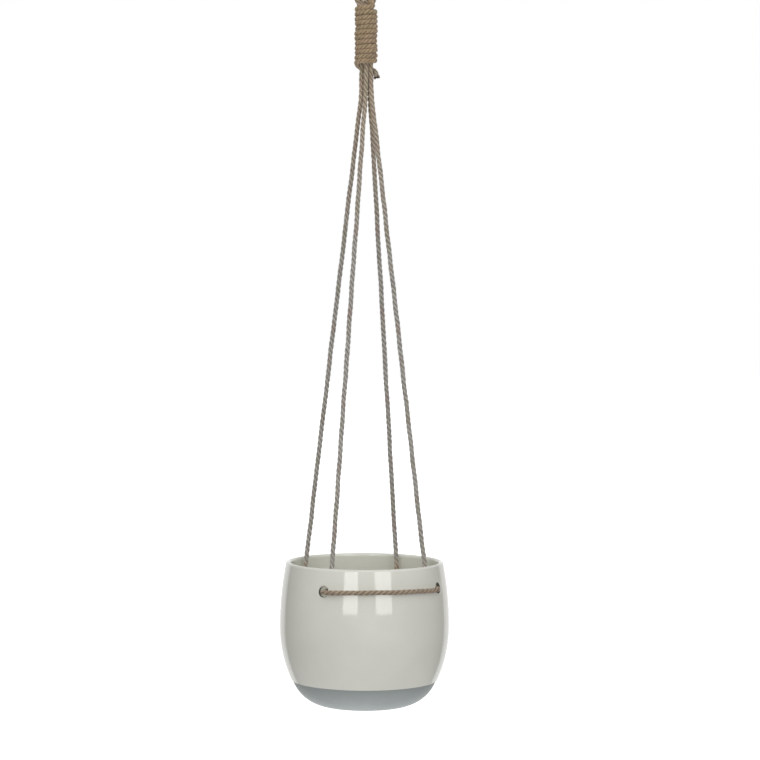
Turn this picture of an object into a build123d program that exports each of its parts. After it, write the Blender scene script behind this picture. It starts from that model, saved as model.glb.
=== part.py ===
from build123d import *
import os
from math import asin, cos, degrees, pi, radians, sin, tan

# Hanging planter: a glazed ceramic pot on two jute ropes, gathered by a wrapped knot under a hanging loop.
# Millimetres and degrees. +Z is up and the front faces -Y.
# The origin is where a hook bears, inside the top of the loop.

# Rope
ROPE_D = 4.0
ROPE_R = ROPE_D / 2

# Heights along the hanging line, counted down from the hook
KNOT_TOP = -66.0
KNOT_LENGTH = 51.0
NECK_LENGTH = 22.0
KNOT_TO_RIM = 423.0
KNOT_BOTTOM = KNOT_TOP - KNOT_LENGTH
NECK_BOTTOM = KNOT_BOTTOM - NECK_LENGTH
RIM_Z = KNOT_BOTTOM - KNOT_TO_RIM

# Pot: the body's outside is three tangent arcs, and every other surface is the same shape further in or out
POT_H = 123.5
BELLY_R = 72.0
BELLY_H = 68.5
UPPER_ARC = 278.0
LOWER_ARC = 112.0
BASE_ARC_TOP = 18.0
WALL = 3.0
GLAZE_OUT = 0.7
GLAZE_IN = 0.5
LEDGE_H = 22.0
LEDGE_ROUND = 0.3
RIM_ROUND = 0.48
POT_Z = RIM_Z - POT_H

# How closely an edge has to match the height or the length that it is found by
HEIGHT_MATCH = 0.01
LENGTH_MATCH = 1.0

# Rope holes, in two pairs, one at the front and one at the back
HOLE_H = 104.5
HOLE_R = 4.4
HOLE_ANGLE = 46.0
HOLE_EDGE_ROUND = 1.2
DRILL_LENGTH = 110.0
HOLE_Z = POT_Z + HOLE_H

# Strands: four, packed in a square in the knot, spreading down the neck to the legs
ROPE_ANGLE = 45.0
CORE_R = 3.1
LEG_TOP_R = 5.3
LEG_RIM_R = 57.0

# Clearances where a joint divides a rope
SWING_GAP = 2.4
TURN_GAP = 1.0
LOOP_GAP = 0.5
TILT_GAP = 9.2

# Wrapped knot
WRAP_TURNS = 12
WRAP_R = 9.6
WRAP_BORE = WRAP_R - ROPE_D
WRAP_GROOVE = 0.9
WRAP_LINE = WRAP_R - ROPE_R

# Route of the knot's cut rope end: angle from +X towards the back, distance from the axis, height
TAIL_ROUTE = [
    (60, WRAP_LINE, KNOT_BOTTOM + 2.0),
    (34, 7.6, KNOT_BOTTOM - 1.2),
    (6, 8.1, KNOT_BOTTOM - 4.6),
    (-20, 8.4, KNOT_BOTTOM - 8.2),
    (-33, 8.5, KNOT_BOTTOM - 12.0),
]

# Route of one loop bight: distance from the loop's middle, height. It is mirrored to the other side.
LOOP_ROUTE = [
    (4.0, KNOT_TOP + 0.9),
    (8.6, KNOT_TOP + 6.5),
    (9.6, -40.0),
    (9.4, -18.0),
    (8.6, -6.5),
    (5.2, ROPE_R),
]
LOOP_Y = 2.2

# Route of the front rope outside the pot and through both holes:
# angle from the front towards +X, distance from the axis, height above the holes' centres
RUN_ROUTE = [
    (-45.0, 59.0, 8.0),
    (-45.0, 60.0, 0.4),
    (-45.0, 72.9, 0.1),
    (-34.0, 73.3, 0.2),
    (-20.0, 73.1, 0.5),
    (-6.0, 73.1, 0.8),
    (8.0, 73.1, 0.7),
    (22.0, 73.1, 0.3),
    (34.0, 73.3, -0.2),
    (45.0, 72.9, -0.5),
    (45.0, 60.0, 0.4),
    (45.0, 59.0, 8.0),
]
RUN_BEND = 4.0
BEND_SHARE = 0.45

SIDES = {"left": -1, "right": 1}
ROPES = {"front": -1, "back": 1}


def polar(angle, radius, z):
    """A point at an angle from the front, counted towards +X."""
    return Vector(radius * sin(radians(angle)), -radius * cos(radians(angle)), z)


def bend_radii(points, smallest=0.0, tight=()):
    """The arc at each inner point of a route: as large as its runs allow, or the tight bend's own size."""
    radii = []
    for index in range(1, len(points) - 1):
        run_in = points[index] - points[index - 1]
        run_out = points[index + 1] - points[index]
        half_turn = radians(run_in.get_angle(run_out)) / 2
        radius = BEND_SHARE * min(run_in.length, run_out.length) / tan(half_turn)
        radii.append(smallest if index in tight else radius)
    return radii


def rope_along(points, radii=()):
    """A round rope whose middle follows straight runs joined by tangent arcs."""
    path = FilletPolyline(*points, radius=list(radii)) if radii else Line(*points)
    section = Plane(origin=path @ 0, z_dir=path % 0) * Circle(ROPE_R)
    rope = sweep(section, path=path)
    ideal = pi * ROPE_R**2 * path.length
    print(f"  length {path.length:.1f}, volume {rope.volume:.0f} of {ideal:.0f}, radii",
          [round(radius, 1) for radius in radii])
    return rope


def leg_radius(z):
    """Distance of a leg's middle from the planter's axis."""
    share = (NECK_BOTTOM - z) / (NECK_BOTTOM - RIM_Z)
    return LEG_TOP_R + (LEG_RIM_R - LEG_TOP_R) * share


def strand_angle(rope, side):
    """Angle from the front of one of the four strands."""
    return side * ROPE_ANGLE if rope < 0 else 180 - side * ROPE_ANGLE


def bowl(inset, top):
    """The space inside the surface that lies this far inside the body's outside, up to a height."""
    turn = degrees(asin((BELLY_H - BASE_ARC_TOP) / LOWER_ARC))
    base_arc = BASE_ARC_TOP / (1 - sin(radians(turn)))
    upper_centre = (BELLY_R - UPPER_ARC, BELLY_H)
    lower_centre = (BELLY_R - LOWER_ARC, BELLY_H)
    base_x = lower_centre[0] + (LOWER_ARC - base_arc) * cos(radians(turn))
    rise = degrees(asin((top - BELLY_H) / (UPPER_ARC - inset)))
    with BuildSketch(Plane.XZ) as outline:
        with BuildLine():
            Line((0, inset), (base_x, inset))
            CenterArc((base_x, base_arc), base_arc - inset, -90, 90 - turn)
            CenterArc(lower_centre, LOWER_ARC - inset, -turn, turn)
            side = CenterArc(upper_centre, UPPER_ARC - inset, 0, rise)
            Polyline(side @ 1, (0, top), (0, inset))
        make_face()
    return revolve(outline.sketch, axis=Axis.Z)


def rope_holes(radius):
    """Four round drills through the wall."""
    drills = []
    for angle in (HOLE_ANGLE, 180 - HOLE_ANGLE, 180 + HOLE_ANGLE, -HOLE_ANGLE):
        plane = Plane(origin=(0, 0, HOLE_H), z_dir=polar(angle, 1, 0))
        drill = Cylinder(radius, DRILL_LENGTH, align=(Align.CENTER, Align.CENTER, Align.MIN))
        drills.append(plane * drill)
    return Part() + drills


def rounded_rim(pot, top, share, thickness):
    """Rounds both edges of the rim."""
    rim = pot.edges().filter_by_position(Axis.Z, top - HEIGHT_MATCH, top + HEIGHT_MATCH)
    return fillet(rim, share * thickness)


def pot_body():
    """The ceramic body: the bare shape under the glaze."""
    top = POT_H - GLAZE_OUT
    body = bowl(0, top) - bowl(WALL, top)
    body = rounded_rim(body, top, RIM_ROUND, WALL)
    return body - rope_holes(HOLE_R + GLAZE_OUT)


def glaze_coat(body):
    """The glaze over the inside, the rim, the holes and the outside down to its ledge."""
    glazed = bowl(-GLAZE_OUT, POT_H) - bowl(WALL + GLAZE_IN, POT_H)
    glazed = rounded_rim(glazed, POT_H, RIM_ROUND, WALL + GLAZE_OUT + GLAZE_IN)
    glazed -= rope_holes(HOLE_R)
    mouths = [edge for edge in glazed.edges() if abs(edge.length - 2 * pi * HOLE_R) < LENGTH_MATCH]
    glazed = fillet(mouths, HOLE_EDGE_ROUND)
    below = Cylinder(2 * BELLY_R, 2 * LEDGE_H) - bowl(WALL / 2, POT_H)
    coat = glazed - body - below
    ledge = coat.edges().filter_by_position(Axis.Z, LEDGE_H - HEIGHT_MATCH, LEDGE_H + HEIGHT_MATCH)
    outer = max(ledge, key=lambda edge: edge.length)
    return fillet(outer, LEDGE_ROUND)


def rope_run(rope):
    """A rope's stretch on the pot: up inside, out through a hole, round the outside and in again."""
    points = [polar(angle, radius, HOLE_Z + height) for angle, radius, height in RUN_ROUTE]
    last = len(points) - 1
    tight = (1, 2, last - 2, last - 1)
    run = rope_along(points, bend_radii(points, RUN_BEND, tight))
    return run if rope < 0 else Rot(0, 0, 180) * run


def leg(rope, side):
    """A taut leg, straight from the neck to just above the rope's foot in the pot."""
    angle = strand_angle(rope, side)
    foot_z = HOLE_Z + RUN_ROUTE[0][2] + TILT_GAP
    top_z = NECK_BOTTOM - TURN_GAP / 2
    return rope_along([polar(angle, leg_radius(top_z), top_z), polar(angle, leg_radius(foot_z), foot_z)])


def neck_strands(rope):
    """A rope's two strands between the knot and the legs."""
    top_z = KNOT_BOTTOM - SWING_GAP
    bottom_z = NECK_BOTTOM + TURN_GAP / 2
    strands = []
    for side in SIDES.values():
        angle = strand_angle(rope, side)
        strands.append(rope_along([polar(angle, CORE_R, top_z), polar(angle, LEG_TOP_R, bottom_z)]))
    return Part() + strands


def core_strands(rope):
    """A rope's two strands inside the wrap."""
    strands = []
    for side in SIDES.values():
        angle = strand_angle(rope, side)
        strands.append(rope_along([polar(angle, CORE_R, KNOT_TOP), polar(angle, CORE_R, KNOT_BOTTOM)]))
    return Part() + strands


def knot_wrap():
    """The outer shape of the winding: a tube with one round ridge for each turn."""
    pitch = KNOT_LENGTH / WRAP_TURNS
    groove = WRAP_R - WRAP_GROOVE
    with BuildSketch(Plane.XZ) as outline:
        with BuildLine():
            bore_end = (WRAP_BORE, KNOT_BOTTOM)
            bore_start = (WRAP_BORE, KNOT_TOP)
            Polyline((groove, KNOT_BOTTOM), bore_end, bore_start, (groove, KNOT_TOP))
            for turn in range(WRAP_TURNS):
                low = KNOT_BOTTOM + turn * pitch
                ThreePointArc((groove, low), (WRAP_R, low + pitch / 2), (groove, low + pitch))
        make_face()
    return revolve(outline.sketch, axis=Axis.Z)


def knot_tail(wrap):
    """The wrapping rope's cut end, from under the last turn to the knot's lower right."""
    points = []
    for angle, radius, z in TAIL_ROUTE:
        points.append(Vector(radius * cos(radians(angle)), radius * sin(radians(angle)), z))
    return rope_along(points, bend_radii(points)) - wrap


def loop_bight(rope):
    """A rope's turn over the hook, from the knot's top on one side to the other."""
    rising = [Vector(-x, rope * LOOP_Y, z) for x, z in LOOP_ROUTE]
    falling = [Vector(x, rope * LOOP_Y, z) for x, z in reversed(LOOP_ROUTE)]
    points = rising + falling
    bight = rope_along(points, bend_radii(points))
    return bight & Sphere(-KNOT_TOP - LOOP_GAP)


def planter():
    """Every node by name."""
    print("ropes:")
    body = pot_body()
    wrap = knot_wrap()
    nodes = {
        "pot_body": Pos(0, 0, POT_Z) * body,
        "glaze_coat": Pos(0, 0, POT_Z) * glaze_coat(body),
        "knot_wrap": wrap,
        "knot_tail": knot_tail(wrap),
    }
    for rope_name, rope in ROPES.items():
        nodes[f"{rope_name}_rope_loop"] = loop_bight(rope)
        nodes[f"{rope_name}_rope_core"] = core_strands(rope)
        nodes[f"{rope_name}_rope_neck"] = neck_strands(rope)
        nodes[f"{rope_name}_rope_run"] = rope_run(rope)
        for side_name, side in SIDES.items():
            nodes[f"{rope_name}_{side_name}_leg"] = leg(rope, side)
    return nodes


os.makedirs("parts", exist_ok=True)
for name, shape in planter().items():
    export_step(shape, f"parts/{name}.step")
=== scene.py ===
"""Hanging planter: a glazed ceramic pot on two jute ropes, under a wrapped knot and a hanging loop."""

import math

import bpy
import numpy as np
from mathutils import Matrix, Vector


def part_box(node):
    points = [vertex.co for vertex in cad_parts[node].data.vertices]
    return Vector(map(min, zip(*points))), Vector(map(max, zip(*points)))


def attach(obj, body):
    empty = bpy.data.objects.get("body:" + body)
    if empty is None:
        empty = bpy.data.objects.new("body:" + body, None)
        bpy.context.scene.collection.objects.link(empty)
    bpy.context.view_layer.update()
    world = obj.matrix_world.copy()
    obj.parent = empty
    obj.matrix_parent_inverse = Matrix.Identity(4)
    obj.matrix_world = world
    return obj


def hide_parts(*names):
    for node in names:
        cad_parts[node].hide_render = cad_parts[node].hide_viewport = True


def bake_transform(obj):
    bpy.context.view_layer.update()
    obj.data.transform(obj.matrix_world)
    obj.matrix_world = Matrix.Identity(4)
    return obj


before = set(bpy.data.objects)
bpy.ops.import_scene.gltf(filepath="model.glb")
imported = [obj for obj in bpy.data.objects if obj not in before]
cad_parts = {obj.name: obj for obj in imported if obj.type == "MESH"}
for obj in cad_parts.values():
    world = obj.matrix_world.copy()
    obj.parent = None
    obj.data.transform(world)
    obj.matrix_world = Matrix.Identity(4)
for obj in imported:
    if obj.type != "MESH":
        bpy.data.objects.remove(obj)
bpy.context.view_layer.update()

# ---------------------------------------------------------------- sizes: metres, degrees and watts

# Heights that the ropes are laid out from, read from the frame
KNOT_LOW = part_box("knot_wrap")[0].z
KNOT_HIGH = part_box("knot_wrap")[1].z
POT_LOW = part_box("pot_body")[0].z
RIM_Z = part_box("glaze_coat")[1].z
HOLE_HEIGHT = 0.1045
HOLE_Z = POT_LOW + HOLE_HEIGHT
NECK_REACH = 0.022
NECK_LOW = KNOT_LOW - NECK_REACH

# The pot's rope holes, and where the painted shade on their walls ends outside each hole's radius
HOLE_R = 0.0044
HOLE_ANGLE = 46.0
HOLE_SHADE_END = (0.0001, 0.0004)
HOLE_SHADE_SHARE = 0.9

# Camera
VIEW_AZIMUTH = -16.563
VIEW_ELEVATION = 2.235
VIEW_ROLL = 0.16
VIEW_DISTANCE = 2.1327
VIEW_TARGET = Vector((0.0, 0.0, -0.3845))
VIEW_SHIFT = 0.01953
LENS_MM = 118.14
SENSOR_MM = 36.0
FARTHEST_SEEN = 60.0

# Rope: three plies laid left-handed round its middle, drawn as rings of points. PLY_LINE is how far out
# each ply's own middle runs, and LAY is the length of one whole twist.
ROPE_D = 0.004
ROPE_R = ROPE_D / 2
PLIES = 3
PLY_R = 0.00110
PLY_LINE = 0.00100
LAY = 0.0145
RING_STEP = 0.0009
PLY_SIDES = 16
SPLINE_ORDER = 3
CURVE_STEPS = 48

# How little a rope may lean at its start before its rings take their side from the Y axis, as a sine
LEAST_LEAN = 0.1

# How far the rope wanders off its line, and over which lengths. It keeps to the line at its ends.
ROPE_WANDER = 0.0003
ROPE_WANDER_LENGTHS = (0.11, 0.061, 0.033)
ROPE_WANDER_FADE = 0.03
SIDE_SEED = 21
CROSS_SEED = 22

# How much each ply's place and thickness vary, as shares, and over which lengths
PLY_WANDER = 0.08
PLY_WANDER_LENGTHS = (0.031, 0.013)
PLY_UNEVEN = 0.07
PLY_UNEVEN_LENGTHS = (0.017, 0.0071, 0.0043)
PLY_SEEDS = 10
UNEVEN_SEED = 5

# A cut end: how much further apart its plies stand, how much thicker they get, and over which length
FRAY_SPREAD = 0.9
FRAY_SWELL = 0.12
FRAY_LENGTH = 0.003

# The fibres' turn round each ply, in radians a metre, and the plies' spacing in the fibres' pattern
FIBRE_TURN = 480.0
FIBRE_SHIFT = 3.7

# Loose fibres standing off the ropes: how many, how thick, how they are drawn, the least and most of their
# length, rise and sideways swing, where they leave the rope, and their spacing in the fibres' pattern
FUZZ_PER_METRE = 1500
FUZZ_R = 0.00005
FUZZ_TAPER = 1.05
FUZZ_STEPS = 5
FUZZ_SIDES = 3
FUZZ_LENGTH = (0.0012, 0.0034)
FUZZ_RISE = (0.0003, 0.0012)
FUZZ_SWING = (-0.0008, 0.0008)
FUZZ_ROOT = 0.88 * ROPE_R
FUZZ_SPACING = (1.0, 0.7, 0.3)
FUZZ_SEEDS = 1000

# The strands' feet in the pot, and their cores, packed in a square in the knot
STRAND_ANGLE = 45.0
FOOT_R = 0.059
FOOT_RISE = 0.008
CORE_R = 0.0031

# Where each strand lies as the view sees it: metres to the right of the hanging line, and metres behind it.
# In turn at the loop's foot, over the wrap's top, under the wrap, and at the neck's foot.
STRAND_PLACES = {
    ("front", "left"): ((-0.0090, -0.0018), (-0.0064, -0.0018), (0.0002, -0.0026), (-0.0003, -0.0024)),
    ("back", "left"): ((-0.0044, 0.0024), (-0.0030, 0.0022), (-0.0034, 0.0006), (-0.0038, 0.0008)),
    ("back", "right"): ((-0.0008, 0.0024), (0.0008, 0.0022), (0.0024, 0.0024), (0.0034, 0.0022)),
    ("front", "right"): ((0.0074, -0.0022), (0.0054, -0.0020), (0.0040, -0.0016), (0.0045, -0.0020)),
}

# Each rope's side of the hook, the way it faces, and its two strands in the order it passes through them
ROPES = {
    "front": (-1, 0.0, ("left", "right")),
    "back": (1, 180.0, ("right", "left")),
}

# Half of the hanging loop from the knot up: distance from the hanging line, and height
LOOP_Y = 0.0022
LOOP_ROUTE = [
    (0.0096, -0.040),
    (0.0094, -0.018),
    (0.0086, -0.0065),
    (0.0052, 0.0020),
]

# The rope's way out of one hole, along the pot, in at the other hole and up to its first foot again:
# angle from the side it faces, distance from the pot's axis, and height over the holes
RUN_ROUTE = [
    (45.0, 0.060, 0.0004),
    (45.0, 0.0729, -0.0005),
    (34.0, 0.0733, -0.0002),
    (22.0, 0.0731, 0.0003),
    (8.0, 0.0731, 0.0007),
    (-6.0, 0.0731, 0.0008),
    (-20.0, 0.0731, 0.0005),
    (-34.0, 0.0733, 0.0002),
    (-43.6, 0.0737, 0.0000),
    (-46.3, 0.0722, 0.0001),
    (-45.0, 0.060, 0.0004),
    (-STRAND_ANGLE, FOOT_R, FOOT_RISE),
]

# Where the ropes are divided, and where they bend at the joints
CORE_END = KNOT_LOW + 0.009
NECK_SPLIT = KNOT_LOW - 0.009

# The heights of a strand's points at the knot, and how far from its ends a leg is straight
NECK_STEP = 0.003
UNDER_Z = KNOT_LOW + 0.001
CORE_LOW = KNOT_LOW + 0.013
CORE_HIGH = KNOT_HIGH - 0.011
OVER_Z = KNOT_HIGH + 0.0020
LOOP_FOOT_Z = KNOT_HIGH + 0.0060
LEG_STRAIGHT_FROM = 0.024

# Wrapped knot: even turns, each leaning and bulging a little in its own way. WRAP_LINE is how far out the
# wrapping rope's middle runs, and WRAP_SWELL is how much thicker than the other ropes it is drawn.
WRAP_TURNS = 11
WRAP_PITCH = 0.0041
WRAP_LINE = 0.0076
WRAP_LAY = 0.0100
WRAP_SWELL = 1.1
TURN_POINTS = 14
WRAP_LEAN = (-0.0003, 0.0003)
WRAP_BULGE = (-0.0003, 0.0004)
WRAP_RIPPLE_STEP = 90.0
WRAP_SEED = 4

# The wrapping rope's upper end, in among the strands: to the right, behind, and over the knot's top
WRAP_START = [
    (0.0036, -0.0010, 0.0085),
    (0.0034, -0.0012, 0.0045),
    (0.0046, -0.0030, 0.0010),
]
WRAP_ENTRY = (40.0, 0.0070, -0.0010)

# Its last turn and cut end: angle from the front, distance from the middle, height over the knot's foot
WRAP_TAIL = [
    (0.0, 0.0077, 0.0039),
    (-30.0, 0.0078, 0.0038),
    (-60.0, 0.0080, 0.0035),
    (-90.0, 0.0080, 0.0029),
    (-118.0, 0.0078, 0.0013),
    (-145.0, 0.0076, -0.0008),
    (-175.0, 0.0073, -0.0022),
    (-208.0, 0.0073, -0.0027),
    (-236.0, 0.0076, -0.0029),
    (-262.0, 0.0081, -0.0042),
    (-284.0, 0.0086, -0.0066),
    (-295.0, 0.0090, -0.0098),
]

# ---------------------------------------------------------------- colours and light

# How brown the ropes are: fading over a length under the knot, and over 1 where they are worn, at the pot
BROWN_FADE = 0.16
WORN_TONE = 1.85
WORN_FADE = 0.02

# The wrapping rope's own fade, from its loose end to the knot
END_GREY_DROP = 0.010
END_GREY_FADE = 0.014
END_BROWN = 0.25

ROPE_JUTE = {
    "brown_light": (0.78, 0.645, 0.485),
    "brown_dark": (0.44, 0.35, 0.25),
    "grey_light": (0.72, 0.69, 0.635),
    "grey_dark": (0.34, 0.32, 0.29),
}
WRAP_JUTE = {
    "brown_light": (0.76, 0.58, 0.37),
    "brown_dark": (0.30, 0.205, 0.115),
    "grey_light": (0.55, 0.505, 0.44),
    "grey_dark": (0.29, 0.26, 0.215),
}
JUTE_RUSSET = (0.42, 0.28, 0.23)
JUTE_MOSS = (0.36, 0.34, 0.20)
JUTE_WORN = (0.61, 0.58, 0.57)
# Painted shade for the crevices where the plies meet
JUTE_CREVICE_SHADE = (0.09, 0.07, 0.05)

# The jute's patterns, noises between 0 and 1: threads and lumps drawn out along the plies, and russet and
# mossy stretches along the rope. A range says over which values a colour comes in, and a share how far.
THREAD_STRETCH = (1.0, 1.0, 0.09)
THREAD_RANGE = (0.32, 0.66)
LUMP_STRETCH = (0.3, 0.3, 0.11)
LUMP_RANGE = (0.35, 0.65)
LUMP_SHARE = 0.5
RUSSET_PER_METRE = (38.0, 0.0, 0.0)
RUSSET_RANGE = (0.5, 0.66)
RUSSET_SHARE = 0.45
MOSS_PER_METRE = (27.0, 0.0, 0.0)
MOSS_RANGE = (0.55, 0.7)
MOSS_SHARE = 0.4
WORN_RANGE = (1.0, 2.0)
# The painted shade between the plies fades out over this range of how far outwards a point lies
CREVICE_SHADE_RANGE = (-0.2, 0.6)

# Roughness goes from its first to its second value over this range of a pattern
GLOSS_RANGE = (0.3, 0.7)
JUTE_ROUGHNESS = (0.95, 0.78)
GLAZE_ROUGHNESS = (0.05, 0.09)
CERAMIC_ROUGHNESS = (0.45, 0.58)

# The pot's patterns: clouds in both surfaces, specks in the glaze, grain in the bare ceramic
CLOUD_RANGE = (0.35, 0.65)
GLAZE_DIM = (0.79, 0.79, 0.715)
GLAZE_BRIGHT = (0.83, 0.83, 0.755)
GLAZE_SPECK = (0.60, 0.59, 0.51)
SPECK_RANGE = (0.66, 0.74)
SPECK_SHARE = 0.25
GLAZE_IOR = 1.52
CERAMIC_DIM = (0.49, 0.535, 0.53)
CERAMIC_BRIGHT = (0.55, 0.595, 0.59)
CERAMIC_GRAIN = (0.30, 0.33, 0.33)
GRAIN_RANGE = (0.58, 0.7)
GRAIN_SHARE = 0.35
# Painted shade on the bare ceramic under the glaze's ledge: its colour, the heights it fades over, and its
# share
LEDGE_PAINTED_SHADE = (0.32, 0.35, 0.345)
LEDGE_SHADE_FROM = POT_LOW + 0.006
LEDGE_SHADE_TO = POT_LOW + 0.022
LEDGE_SHADE_SHARE = 0.85
# Painted shade on the walls of the rope holes
HOLE_PAINTED_SHADE = (0.06, 0.055, 0.035)
WHITE = (1.0, 1.0, 1.0)

# The Mix node's colour sockets
MIX_INPUTS = (0, 6, 7)
MIX_OUTPUT = 2

FLOOR_Z = -1.0
FLOOR_SIZE = 30.0
FLOOR_COLOUR = (0.6, 0.6, 0.6)

# The room's light in bands, from low to high: its level at the camera's side, its level behind the pot, and
# where the one goes over to the other, from -1 at the camera to 1 behind
ROOM_BANDS = [
    (0.80, 1.7, -0.2, 0.75),
    (0.06, 1.1, 0.70, 0.78),
    (1.32, 0.5, -0.75, 0.1),
]
# Where each band goes over to the one above, from -1 straight down to 1 straight up
BAND_EDGES = [(-0.9, -0.3), (0.1, 0.6)]

# Softboxes: turn from the camera's side, rise, width, height and power
LIGHT_DISTANCE = 2.2
SOFTBOXES = {
    "softbox_left": (-18.9, 7.8, 0.75, 0.65, 7.2),
    "softbox_right": (26.1, 7.8, 0.88, 0.65, 7.8),
}


# ---------------------------------------------------------------- places

def polar(angle, radius, z):
    """A point at an angle from the front, counted in degrees towards +X."""
    turn = math.radians(angle)
    return Vector((radius * math.sin(turn), -radius * math.cos(turn), z))


def direction(azimuth, elevation):
    """The way from the pot to something at an azimuth and an elevation."""
    rise = math.radians(elevation)
    return polar(azimuth, math.cos(rise), math.sin(rise))


def as_seen(across, behind, z):
    """A point from how far it lies to the right of the hanging line and behind it, as the view sees it."""
    turn = math.radians(VIEW_AZIMUTH)
    return Vector((
        across * math.cos(turn) - behind * math.sin(turn),
        across * math.sin(turn) + behind * math.cos(turn),
        z,
    ))


# ---------------------------------------------------------------- camera

def make_camera():
    """The camera stands where the pot's rim is seen slightly from above."""
    back = direction(VIEW_AZIMUTH, VIEW_ELEVATION)
    data = bpy.data.cameras.new("camera")
    data.sensor_width = SENSOR_MM
    data.lens = LENS_MM
    data.shift_x = VIEW_SHIFT
    data.clip_end = FARTHEST_SEEN
    camera = bpy.data.objects.new("camera", data)
    bpy.context.scene.collection.objects.link(camera)
    camera.rotation_mode = "QUATERNION"
    camera.location = VIEW_TARGET + back * VIEW_DISTANCE
    facing = (-back).to_track_quat("-Z", "Y")
    roll = Matrix.Rotation(math.radians(VIEW_ROLL), 3, "Z").to_quaternion()
    camera.rotation_quaternion = facing @ roll
    bpy.context.scene.camera = camera


# ---------------------------------------------------------------- ropes: lines and rings

def spline_points(name, points):
    """Points along the smooth line that a route's points control."""
    data = bpy.data.curves.new(name, "CURVE")
    data.dimensions = "3D"
    spline = data.splines.new("NURBS")
    spline.points.add(len(points) - 1)
    for control, point in zip(spline.points, points):
        control.co = (*point, 1.0)
    spline.order_u = SPLINE_ORDER
    spline.use_endpoint_u = True
    spline.resolution_u = CURVE_STEPS
    curve = bpy.data.objects.new(name, data)
    mesh = bpy.data.meshes.new_from_object(curve)
    line = np.array([vertex.co for vertex in mesh.vertices])
    bpy.data.objects.remove(curve)
    bpy.data.curves.remove(data)
    bpy.data.meshes.remove(mesh)
    return line


def unit(vectors):
    """The same directions, one long."""
    return vectors / np.linalg.norm(vectors, axis=-1, keepdims=True)


def waves(along, seed, lengths):
    """A smooth wandering between about -1 and 1, the same on each run."""
    draws = np.random.default_rng(seed)
    total = np.zeros_like(along)
    for length in lengths:
        total += np.sin(2 * math.pi * (along / length + draws.random()))
    return total / len(lengths)


class Rope:
    """A twisted rope along a line: ring middles, a frame that doesn't twist, and the first ply's angle."""

    def __init__(self, line, seed, closed=False, lay=LAY, swell=1.0):
        self.seed = seed
        self.ply_r = PLY_R * swell
        self.ply_line = PLY_LINE * swell
        gaps = np.linalg.norm(np.diff(line, axis=0), axis=1)
        reach = np.concatenate([[0.0], np.cumsum(gaps)])
        self.length = reach[-1]
        rings = int(round(self.length / RING_STEP)) + 1
        self.along = np.linspace(0.0, self.length, rings)
        self.middle = np.column_stack([np.interp(self.along, reach, line[:, axis]) for axis in range(3)])
        self.tangent = unit(np.gradient(self.middle, axis=0))
        self.side = self.untwisted()
        self.cross = np.cross(self.tangent, self.side)
        self.wander()
        turn = 2 * math.pi * self.length / lay
        if closed:
            turn = self.closing(turn)
        self.angle = -turn * self.along / self.length

    def untwisted(self):
        """A direction square to the rope, carried along it without turning about it."""
        start = np.cross(self.tangent[0], (0.0, 0.0, 1.0))
        if np.linalg.norm(start) < LEAST_LEAN:
            start = np.cross(self.tangent[0], (0.0, 1.0, 0.0))
        current = unit(start)
        sides = [current]
        for tangent in self.tangent[1:]:
            current = unit(current - tangent * (current @ tangent))
            sides.append(current)
        return np.array(sides)

    def wander(self):
        """Moves the middle a little off the line, but not at the ends."""
        ends = np.minimum(self.along, self.length - self.along)
        room = ROPE_WANDER * np.clip(ends / ROPE_WANDER_FADE, 0.0, 1.0)
        for way, number in ((self.side, SIDE_SEED), (self.cross, CROSS_SEED)):
            shift = room * waves(self.along, self.seed + number, ROPE_WANDER_LENGTHS)
            self.middle += way * shift[:, None]

    def closing(self, turn):
        """The twist nearest to a given one that brings a ply to a ply where the rope meets its start."""
        last, first = self.side[-1], self.side[0]
        across = np.cross(self.tangent[0], first)
        drift = math.atan2(last @ across, last @ first)
        step = 2 * math.pi / PLIES
        return round((turn + drift) / step) * step - drift

    def outward(self, rings, turn):
        """Directions square to the rope, one for each ring, at angles about it."""
        return np.cos(turn)[:, None] * self.side[rings] + np.sin(turn)[:, None] * self.cross[rings]

    def rising(self, z):
        """The last ring below a height before the rope's top."""
        top = int(np.argmax(self.middle[:, 2]))
        return top - 1 - int(np.argmax(self.middle[:top, 2][::-1] <= z))

    def falling(self, z):
        """The first ring below a height after the rope's top."""
        top = int(np.argmax(self.middle[:, 2]))
        return top + int(np.argmax(self.middle[top:, 2] <= z))


# ---------------------------------------------------------------- ropes: surfaces

class Skin:
    """A mesh in the making: points, faces, and where each point lies in the fibres and on the strand."""

    def __init__(self):
        self.points = []
        self.fibre = []
        self.strand = []
        self.faces = []
        self.count = 0

    def put(self, points, fibre, strand):
        """Adds points with their marks, and gives the number of the first."""
        first = self.count
        for kept, values in ((self.points, points), (self.fibre, fibre), (self.strand, strand)):
            kept.append(values.reshape(-1, 3))
        self.count += len(self.points[-1])
        return first

    def tube(self, first, rings, sides):
        """Faces round a tube, whose rings of points follow each other."""
        for ring in range(rings - 1):
            low = first + ring * sides
            for corner in range(sides):
                beside = (corner + 1) % sides
                self.faces.append((low + corner, low + beside, low + sides + beside, low + sides + corner))

    def cap(self, middle, rim, sides, far):
        """Faces from a point to a ring round it, turned outwards at a tube's near or far end."""
        for corner in range(sides):
            pair = (rim + corner, rim + (corner + 1) % sides)
            self.faces.append((middle, *(pair if far else pair[::-1])))

    def piece(self, name):
        """The finished object."""
        mesh = bpy.data.meshes.new(name)
        mesh.from_pydata(np.concatenate(self.points), [], self.faces)
        for label, values in (("fibre", self.fibre), ("strand", self.strand)):
            layer = mesh.attributes.new(label, "FLOAT_VECTOR", "POINT")
            layer.data.foreach_set("vector", np.concatenate(values).astype(np.float32).ravel())
        mesh.shade_smooth()
        mesh.update()
        piece = bpy.data.objects.new(name, mesh)
        bpy.context.scene.collection.objects.link(piece)
        return piece


def fray_shape(along, splay):
    """Zero along the rope, rising to one over the last stretch of a cut end."""
    if not splay:
        return np.zeros_like(along)
    left = (along[-1] - along) / splay
    return np.clip(1 - left, 0, 1) ** 2


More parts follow.
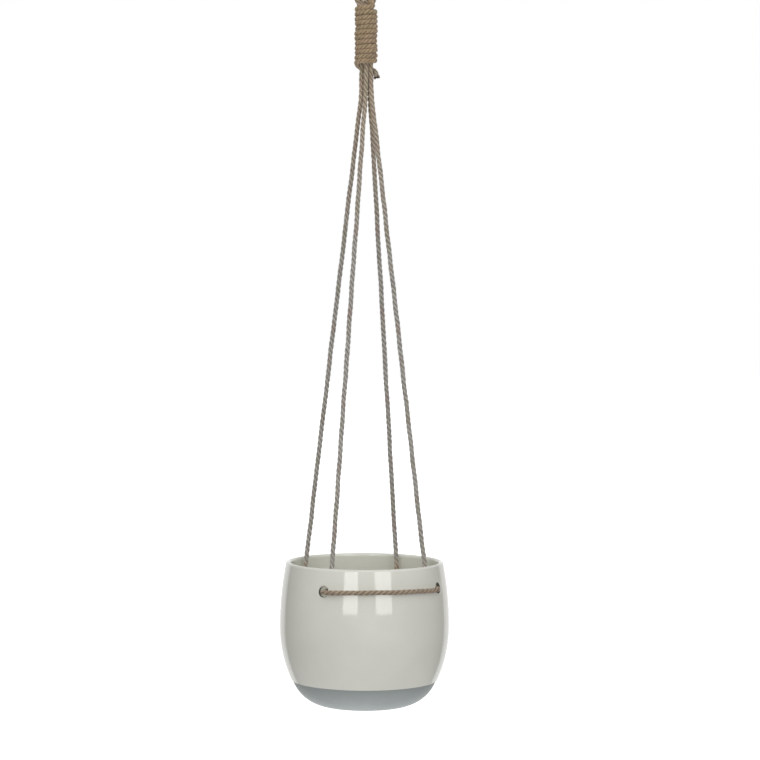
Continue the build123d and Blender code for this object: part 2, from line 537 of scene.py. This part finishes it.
def add_ply(skin, rope, rings, ply, fray, tone):
    """One ply, wound round the rope's middle, with both its ends closed."""
    seed = rope.seed * PLY_SEEDS + ply
    along = rope.along[rings]
    out = rope.outward(rings, rope.angle[rings] + 2 * math.pi * ply / PLIES)
    wander = 1 + PLY_WANDER * waves(along, seed, PLY_WANDER_LENGTHS)
    centre = rope.middle[rings] + out * (rope.ply_line * wander * (1 + FRAY_SPREAD * fray))[:, None]
    run = unit(np.gradient(centre, axis=0))
    out = unit(out - run * (out * run).sum(axis=1, keepdims=True))
    across = np.cross(run, out)
    uneven = 1 + PLY_UNEVEN * waves(along, seed + UNEVEN_SEED, PLY_UNEVEN_LENGTHS)
    thick = rope.ply_r * uneven * (1 + FRAY_SWELL * fray)
    around = 2 * math.pi * np.arange(PLY_SIDES) / PLY_SIDES
    shape = (np.cos(around)[None, :, None] * out[:, None, :]
             + np.sin(around)[None, :, None] * across[:, None, :])
    points = centre[:, None, :] + thick[:, None, None] * shape

    # On the strand, a point is marked by how far along it lies, how far outwards, which sets the painted
    # shade between the plies, and its tone
    reach, outwards = np.broadcast_arrays(along[:, None], np.cos(around)[None, :])
    spun = around[None, :] + FIBRE_TURN * along[:, None]
    fibre = np.stack([np.cos(spun) + seed * FIBRE_SHIFT, np.sin(spun), reach / PLY_R], axis=-1)
    told = tone(points[:, :, 2])
    strand = np.stack([reach, outwards, told], axis=-1)
    first = skin.put(points, fibre, strand)
    skin.tube(first, len(rings), PLY_SIDES)
    for ring, at_far_end in ((0, False), (len(rings) - 1, True)):
        # The caps' points count as fully outwards, so the painted shade between the plies leaves them
        mark = np.array([along[ring], 1.0, told[ring].mean()])
        middle = skin.put(centre[ring], fibre[ring].mean(axis=0), mark)
        skin.cap(middle, first + ring * PLY_SIDES, PLY_SIDES, at_far_end)


def add_loose_fibres(skin, rope, first, last, density, tone):
    """Thin tapered fibres that leave the rope's surface at a low angle and curl a little."""
    draws = np.random.default_rng(rope.seed * FUZZ_SEEDS + first)
    count = int(density * (rope.along[last] - rope.along[first]))
    ring = draws.integers(first, last + 1, count)
    turn = draws.uniform(0.0, 2 * math.pi, count)
    out = rope.outward(ring, turn)
    across = np.cross(rope.tangent[ring], out)
    length = draws.uniform(*FUZZ_LENGTH, count)[:, None]
    way = draws.choice((-1.0, 1.0), count)[:, None]
    rise = draws.uniform(*FUZZ_RISE, count)[:, None]
    swing = draws.uniform(*FUZZ_SWING, count)[:, None]
    rows = []
    for share in np.linspace(0.0, 1.0, FUZZ_STEPS):
        centre = (rope.middle[ring] + out * (FUZZ_ROOT + rise * share) + across * swing * share ** 2
                  + rope.tangent[ring] * way * length * share)
        for corner in range(FUZZ_SIDES):
            spin = 2 * math.pi * corner / FUZZ_SIDES
            thin = FUZZ_R * (FUZZ_TAPER - share)
            rows.append(centre + thin * (math.cos(spin) * out + math.sin(spin) * across))
    points = np.stack(rows, axis=1).reshape(-1, 3)

    each = FUZZ_STEPS * FUZZ_SIDES
    place = np.column_stack([turn, turn, ring]) * FUZZ_SPACING
    reach = np.repeat(rope.along[ring], each)
    strand = np.column_stack([reach, np.ones_like(reach), tone(points[:, 2])])
    start = skin.put(points, np.repeat(place, each, axis=0), strand)
    for number in range(count):
        skin.tube(start + number * each, FUZZ_STEPS, FUZZ_SIDES)


def rope_tone(heights):
    """How brown the rope is: full at the knot and fading down the legs. Over 1 it is worn, at the pot."""
    upper = np.clip((heights - (KNOT_LOW - BROWN_FADE)) / BROWN_FADE, 0.0, 1.0)
    lower = WORN_TONE * np.clip((RIM_Z - heights) / WORN_FADE, 0.0, 1.0)
    return np.maximum(upper, lower)


def wrap_tone(heights):
    """The wrapping rope is brown, and greyer towards its loose end under the knot."""
    return np.clip((heights - (KNOT_LOW - END_GREY_DROP)) / END_GREY_FADE, END_BROWN, 1.0)


def rope_piece(name, parts, material, tone=rope_tone, fuzz=FUZZ_PER_METRE, splay=0.0):
    """One piece of twisted rope in its material. parts is a list of (rope, first ring, last ring)."""
    skin = Skin()
    for rope, first, last in parts:
        rings = np.arange(first, last + 1)
        fray = fray_shape(rope.along[rings], splay)
        for ply in range(PLIES):
            add_ply(skin, rope, rings, ply, fray, tone)
        if fuzz:
            add_loose_fibres(skin, rope, first, last, fuzz, tone)
    piece = skin.piece(name)
    piece.data.materials.append(material)
    return piece


# ---------------------------------------------------------------- ropes: routes and pieces

def strand_route(rope, side):
    """One strand's points, from its foot inside the pot up to the loop."""
    angle = STRAND_ANGLE if rope == "front" else 180.0 - STRAND_ANGLE
    if side == "left":
        angle = -angle
    loop, over, under, neck = STRAND_PLACES[rope, side]
    foot = polar(angle, FOOT_R, HOLE_Z + FOOT_RISE)
    top = as_seen(*neck, NECK_LOW)
    leg = foot - top
    bend = LEG_STRAIGHT_FROM / leg.length
    return [
        foot,
        top + leg * (1 - bend),
        top + leg * bend,
        as_seen(*neck, NECK_LOW - NECK_STEP),
        as_seen(*neck, NECK_SPLIT - NECK_STEP),
        as_seen(*under, UNDER_Z),
        polar(angle, CORE_R, CORE_LOW),
        polar(angle, CORE_R, CORE_HIGH),
        as_seen(*over, OVER_Z),
        as_seen(*loop, LOOP_FOOT_Z),
    ]


def rope_route(rope):
    """A rope's whole round: from one foot over the hook to the other foot, and back through the holes."""
    way, facing, sides = ROPES[rope]
    route = strand_route(rope, sides[0])
    route += [Vector((way * x, way * LOOP_Y, z)) for x, z in LOOP_ROUTE]
    route += [Vector((-way * x, way * LOOP_Y, z)) for x, z in reversed(LOOP_ROUTE)]
    route += reversed(strand_route(rope, sides[1]))
    route += [polar(facing + angle, radius, HOLE_Z + height) for angle, radius, height in RUN_ROUTE]
    return route


def wrap_route():
    """The wrapping rope: from its upper end among the strands, turn by turn down to its lower cut end."""
    draws = np.random.default_rng(WRAP_SEED)
    spread = WRAP_LINE / math.cos(math.pi / TURN_POINTS)
    route = [as_seen(across, behind, KNOT_HIGH + height) for across, behind, height in WRAP_START]
    angle, radius, height = WRAP_ENTRY
    route.append(polar(angle, radius, KNOT_HIGH + height))
    for turn in range(WRAP_TURNS):
        lean = draws.uniform(*WRAP_LEAN)
        bulge = draws.uniform(*WRAP_BULGE)
        for step in range(TURN_POINTS):
            share = step / TURN_POINTS
            angle = -360.0 * share
            ripple = math.sin(math.radians(angle + WRAP_RIPPLE_STEP * turn))
            z = KNOT_HIGH - ROPE_R - (turn + share) * WRAP_PITCH + lean * ripple
            route.append(polar(angle, spread + bulge * ripple, z))
    route += [polar(angle, radius, KNOT_LOW + height) for angle, radius, height in WRAP_TAIL]
    return route


def make_ropes(material):
    """Both ropes, each divided where a joint bends it."""
    neck_tops, neck_feet = [], []
    for seed, (name, (_, _, sides)) in enumerate(ROPES.items(), 1):
        rope = Rope(spline_points(f"{name}_route", rope_route(name)), seed, closed=True)
        last = len(rope.middle) - 1
        foot = rope.falling(HOLE_Z + FOOT_RISE)
        core, split, neck = ((rope.rising(z), rope.falling(z)) for z in (CORE_END, NECK_SPLIT, NECK_LOW))
        neck_tops += [(rope, split[0], core[0]), (rope, core[1], split[1])]
        neck_feet += [(rope, neck[0], split[0]), (rope, split[1], neck[1])]

        bight = rope_piece(f"{name}_rope_bight", [(rope, *core)], material)
        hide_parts(f"{name}_rope_loop", f"{name}_rope_core")
        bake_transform(bight)
        for side, first, end in ((sides[0], 0, neck[0]), (sides[1], neck[1], foot)):
            leg = rope_piece(f"{name}_{side}_rope_leg", [(rope, first, end)], material)
            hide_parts(f"{name}_{side}_leg")
            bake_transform(leg)
        passage = rope_piece(f"{name}_rope_passage", [(rope, foot, last)], material, fuzz=0)
        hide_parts(f"{name}_rope_run")
        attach(passage, "pot")

    top = rope_piece("rope_neck_top", neck_tops, material)
    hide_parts("front_rope_neck", "back_rope_neck")
    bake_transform(top)
    lower = rope_piece("rope_neck_foot", neck_feet, material)
    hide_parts("front_rope_neck", "back_rope_neck")
    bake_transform(lower)


def make_wrap(material):
    """The wrapping rope, wound round the strands in the knot: the next rope after the two that carry."""
    seed = len(ROPES) + 1
    rope = Rope(spline_points("wrap_route", wrap_route()), seed, lay=WRAP_LAY, swell=WRAP_SWELL)
    last = len(rope.middle) - 1
    parts = [(rope, 0, last)]
    wrap = rope_piece("wrapped_knot", parts, material, wrap_tone, splay=FRAY_LENGTH)
    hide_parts("knot_wrap", "knot_tail")
    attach(wrap, "knot")


# ---------------------------------------------------------------- materials

def new_material(name):
    """A material, its node tree, and its shader."""
    material = bpy.data.materials.new(name)
    material.use_nodes = True
    tree = material.node_tree
    return material, tree, tree.nodes["Principled BSDF"]


def add(tree, kind, values=(), **settings):
    """A node with its settings, and its unlinked inputs by name."""
    node = tree.nodes.new(kind)
    for key, value in settings.items():
        setattr(node, key, value)
    for key, value in dict(values).items():
        node.inputs[key].default_value = value
    return node


def mixed(tree, share, low, high, how="MIX"):
    """A colour between two others, by a socket's share. Each colour is given as such or as a socket."""
    node = add(tree, "ShaderNodeMix", data_type="RGBA", blend_type=how, clamp_factor=True)
    for number, value in zip(MIX_INPUTS, (share, low, high)):
        if isinstance(value, bpy.types.NodeSocket):
            tree.links.new(value, node.inputs[number])
        else:
            node.inputs[number].default_value = (*value, 1.0)
    return node.outputs[MIX_OUTPUT]


def ranged(tree, value, low, high, to_low=0.0, to_high=1.0):
    """A value's range carried over to another range, and held at its ends."""
    limits = {"From Min": low, "From Max": high, "To Min": to_low, "To Max": to_high}
    node = add(tree, "ShaderNodeMapRange", limits, clamp=True)
    tree.links.new(value, node.inputs["Value"])
    return node.outputs["Result"]


def noise(tree, vector, scale=1.0, detail=3.0, roughness=0.55):
    """A noise between 0 and 1 over a place."""
    node = add(tree, "ShaderNodeTexNoise", {"Scale": scale, "Detail": detail, "Roughness": roughness})
    tree.links.new(vector, node.inputs["Vector"])
    return node.outputs["Fac"]


def scaled(tree, vector, factors):
    """A vector with each part multiplied by its own factor."""
    node = add(tree, "ShaderNodeVectorMath", {1: factors}, operation="MULTIPLY")
    tree.links.new(vector, node.inputs[0])
    return node.outputs[0]


def parted(tree, vector):
    """The three parts of a vector."""
    node = add(tree, "ShaderNodeSeparateXYZ")
    tree.links.new(vector, node.inputs[0])
    return node.outputs


def bumped(tree, shader, height, distance, strength):
    """Gives a shader the relief of a height."""
    node = add(tree, "ShaderNodeBump", {"Distance": distance, "Strength": strength})
    tree.links.new(height, node.inputs["Height"])
    tree.links.new(node.outputs["Normal"], shader.inputs["Normal"])


def jute_material(name, brown_light, brown_dark, grey_light, grey_dark):
    """Jute: fine fibres along each ply, greyer and browner stretches, and painted shade where the plies
    meet.
    """
    material, tree, shader = new_material(name)
    fibre = add(tree, "ShaderNodeAttribute", attribute_name="fibre").outputs["Vector"]
    strand = add(tree, "ShaderNodeAttribute", attribute_name="strand").outputs["Vector"]
    _, outward, tone = parted(tree, strand)
    threads = noise(tree, scaled(tree, fibre, THREAD_STRETCH), scale=3.4, detail=5.0, roughness=0.65)
    lumps = noise(tree, scaled(tree, fibre, LUMP_STRETCH), scale=1.3)
    russet = noise(tree, scaled(tree, strand, RUSSET_PER_METRE), detail=2.0)
    moss = noise(tree, scaled(tree, strand, MOSS_PER_METRE), detail=1.0)
    light = mixed(tree, tone, grey_light, brown_light)
    dark = mixed(tree, tone, grey_dark, brown_dark)
    body = mixed(tree, ranged(tree, threads, *THREAD_RANGE), dark, light)
    body = mixed(tree, ranged(tree, lumps, *LUMP_RANGE, to_high=LUMP_SHARE), body, dark)
    body = mixed(tree, ranged(tree, russet, *RUSSET_RANGE, to_high=RUSSET_SHARE), body, JUTE_RUSSET)
    body = mixed(tree, ranged(tree, moss, *MOSS_RANGE, to_high=MOSS_SHARE), body, JUTE_MOSS)
    body = mixed(tree, ranged(tree, tone, *WORN_RANGE), body, JUTE_WORN, how="MULTIPLY")
    # Painted shade where the plies meet, darkest on each ply's inner side
    body = mixed(tree, ranged(tree, outward, *CREVICE_SHADE_RANGE), JUTE_CREVICE_SHADE, body)
    tree.links.new(body, shader.inputs["Base Color"])
    tree.links.new(ranged(tree, threads, *GLOSS_RANGE, *JUTE_ROUGHNESS), shader.inputs["Roughness"])
    shader.inputs["Sheen Weight"].default_value = 0.25
    shader.inputs["Sheen Roughness"].default_value = 0.5
    shader.inputs["Specular IOR Level"].default_value = 0.25
    bumped(tree, shader, threads, distance=0.0004, strength=0.9)
    return material


def object_place(tree):
    """A point's place in its piece's own coordinates."""
    return add(tree, "ShaderNodeTexCoord").outputs["Object"]


def local_height(piece, z):
    """A height in the piece's own coordinates."""
    return (piece.matrix_world.inverted() @ Vector((0.0, 0.0, z))).z


def hole_shade_share(tree, place, piece):
    """The painted shade's share: high in the rope holes' walls and zero on the rest of the pot."""
    x, y, z = parted(tree, place)
    turn = math.radians(HOLE_ANGLE)
    sides = []
    for axis, share in ((x, math.cos(turn)), (y, math.sin(turn))):
        size = add(tree, "ShaderNodeMath", operation="ABSOLUTE")
        tree.links.new(axis, size.inputs[0])
        part = add(tree, "ShaderNodeMath", {1: share}, operation="MULTIPLY")
        tree.links.new(size.outputs[0], part.inputs[0])
        sides.append(part.outputs[0])
    across = add(tree, "ShaderNodeMath", operation="SUBTRACT")
    for side, socket in zip(sides, across.inputs):
        tree.links.new(side, socket)
    rise = add(tree, "ShaderNodeMath", {1: local_height(piece, HOLE_Z)}, operation="SUBTRACT")
    tree.links.new(z, rise.inputs[0])
    both = add(tree, "ShaderNodeCombineXYZ")
    tree.links.new(across.outputs[0], both.inputs[0])
    tree.links.new(rise.outputs[0], both.inputs[1])
    far = add(tree, "ShaderNodeVectorMath", operation="LENGTH")
    tree.links.new(both.outputs[0], far.inputs[0])
    start, end = (HOLE_R + past for past in HOLE_SHADE_END)
    return ranged(tree, far.outputs["Value"], start, end, to_low=HOLE_SHADE_SHARE, to_high=0.0)


def glaze_material(piece):
    """Cream glaze: glossy, faintly mottled and wavy, with painted shade on the walls of the rope holes."""
    material, tree, shader = new_material("cream_glaze")
    place = object_place(tree)
    cloud = noise(tree, place, scale=22.0, detail=2.0)
    specks = noise(tree, place, scale=900.0, detail=1.0)
    ripples = noise(tree, place, scale=38.0, detail=1.0)
    body = mixed(tree, ranged(tree, cloud, *CLOUD_RANGE), GLAZE_DIM, GLAZE_BRIGHT)
    body = mixed(tree, ranged(tree, specks, *SPECK_RANGE, to_high=SPECK_SHARE), body, GLAZE_SPECK)
    # Painted shade on the walls of the rope holes
    body = mixed(tree, hole_shade_share(tree, place, piece), body, HOLE_PAINTED_SHADE)
    tree.links.new(body, shader.inputs["Base Color"])
    tree.links.new(ranged(tree, cloud, *GLOSS_RANGE, *GLAZE_ROUGHNESS), shader.inputs["Roughness"])
    shader.inputs["IOR"].default_value = GLAZE_IOR
    bumped(tree, shader, ripples, distance=0.0006, strength=0.22)
    return material


def ceramic_material(piece):
    """Bare ceramic: satin blue-grey with a fine grain, with painted shade under the glaze's ledge and on
    the walls of the rope holes.
    """
    material, tree, shader = new_material("bare_ceramic")
    place = object_place(tree)
    cloud = noise(tree, place, scale=30.0)
    grain = noise(tree, place, scale=1500.0, detail=2.0)
    body = mixed(tree, ranged(tree, cloud, *CLOUD_RANGE), CERAMIC_DIM, CERAMIC_BRIGHT)
    # Painted shade under the glaze's ledge, darkest just below it
    low, high = (local_height(piece, z) for z in (LEDGE_SHADE_FROM, LEDGE_SHADE_TO))
    shade = ranged(tree, parted(tree, place)["Z"], low, high, to_high=LEDGE_SHADE_SHARE)
    body = mixed(tree, shade, body, LEDGE_PAINTED_SHADE)
    body = mixed(tree, ranged(tree, grain, *GRAIN_RANGE, to_high=GRAIN_SHARE), body, CERAMIC_GRAIN)
    # Painted shade on the walls of the rope holes
    body = mixed(tree, hole_shade_share(tree, place, piece), body, HOLE_PAINTED_SHADE)
    tree.links.new(body, shader.inputs["Base Color"])
    tree.links.new(ranged(tree, grain, *GLOSS_RANGE, *CERAMIC_ROUGHNESS), shader.inputs["Roughness"])
    shader.inputs["Specular IOR Level"].default_value = 0.2
    bumped(tree, shader, grain, distance=0.00008, strength=0.35)
    return material


def dress_pot():
    """Gives the pot's body and its glaze their materials."""
    for node, make, slot in (("glaze_coat", glaze_material, "cream_glaze"),
                             ("pot_body", ceramic_material, "bare_ceramic")):
        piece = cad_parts[node]
        material = make(piece)
        for place in piece.material_slots:
            place.material = material


# ---------------------------------------------------------------- studio

def make_floor():
    """A plain pale floor, well below the hanging pot. The room's own light comes from the surround."""
    half = FLOOR_SIZE / 2
    mesh = bpy.data.meshes.new("floor")
    corners = [(x, y, FLOOR_Z) for x, y in ((-half, -half), (half, -half), (half, half), (-half, half))]
    mesh.from_pydata(corners, [], [(0, 1, 2, 3)])
    floor = bpy.data.objects.new("floor", mesh)
    bpy.context.scene.collection.objects.link(floor)
    floor.visible_diffuse = False
    floor.visible_glossy = False
    floor.visible_shadow = False
    material, _, shader = new_material("pale_floor")
    shader.inputs["Base Color"].default_value = (*FLOOR_COLOUR, 1.0)
    shader.inputs["Roughness"].default_value = 0.9
    shader.inputs["Emission Color"].default_value = (*WHITE, 1.0)
    shader.inputs["Emission Strength"].default_value = 0.9
    mesh.materials.append(material)


def make_softbox(name, turn, rise, width, height, power):
    """A rectangular light that faces the pot's upper half, turned from the camera's side."""
    data = bpy.data.lights.new(name, "AREA")
    data.shape = "RECTANGLE"
    data.size = width
    data.size_y = height
    data.energy = power
    light = bpy.data.objects.new(name, data)
    bpy.context.scene.collection.objects.link(light)
    out = direction(VIEW_AZIMUTH + turn, rise)
    light.location = Vector((0, 0, HOLE_Z)) + out * LIGHT_DISTANCE
    light.rotation_mode = "QUATERNION"
    light.rotation_quaternion = (-out).to_track_quat("-Z", "Y")
    light.visible_camera = False


def make_world():
    """A white surround behind everything the camera sees, and a dimmer room that lights the pot."""
    world = bpy.data.worlds.new("studio")
    bpy.context.scene.world = world
    world.use_nodes = True
    tree = world.node_tree
    tree.nodes.clear()
    place = add(tree, "ShaderNodeTexCoord").outputs["Generated"]
    facing = add(tree, "ShaderNodeVectorMath", {1: -direction(VIEW_AZIMUTH, 0.0)}, operation="DOT_PRODUCT")
    tree.links.new(place, facing.inputs[0])
    bands = []
    for front, back, start, end in ROOM_BANDS:
        behind = ranged(tree, facing.outputs["Value"], start, end)
        bands.append(mixed(tree, behind, (front,) * 3, (back,) * 3))
    height = parted(tree, place)["Z"]
    room = bands[0]
    for band, (start, end) in zip(bands[1:], BAND_EDGES):
        room = mixed(tree, ranged(tree, height, start, end), room, band)
    seen = add(tree, "ShaderNodeLightPath").outputs["Is Camera Ray"]
    background = add(tree, "ShaderNodeBackground")
    tree.links.new(mixed(tree, seen, room, WHITE), background.inputs["Color"])
    output = add(tree, "ShaderNodeOutputWorld")
    tree.links.new(background.outputs[0], output.inputs["Surface"])


def make_studio():
    """The floor, the room and the softboxes."""
    make_floor()
    make_world()
    for name, (turn, rise, width, height, power) in SOFTBOXES.items():
        make_softbox(name, turn, rise, width, height, power)
    bpy.context.scene.view_settings.view_transform = "Standard"


# ---------------------------------------------------------------- the scene

make_camera()
rope_finish = jute_material("jute_rope", **ROPE_JUTE)
wrap_finish = jute_material("wrap_rope", **WRAP_JUTE)
make_ropes(rope_finish)
make_wrap(wrap_finish)
dress_pot()
make_studio()
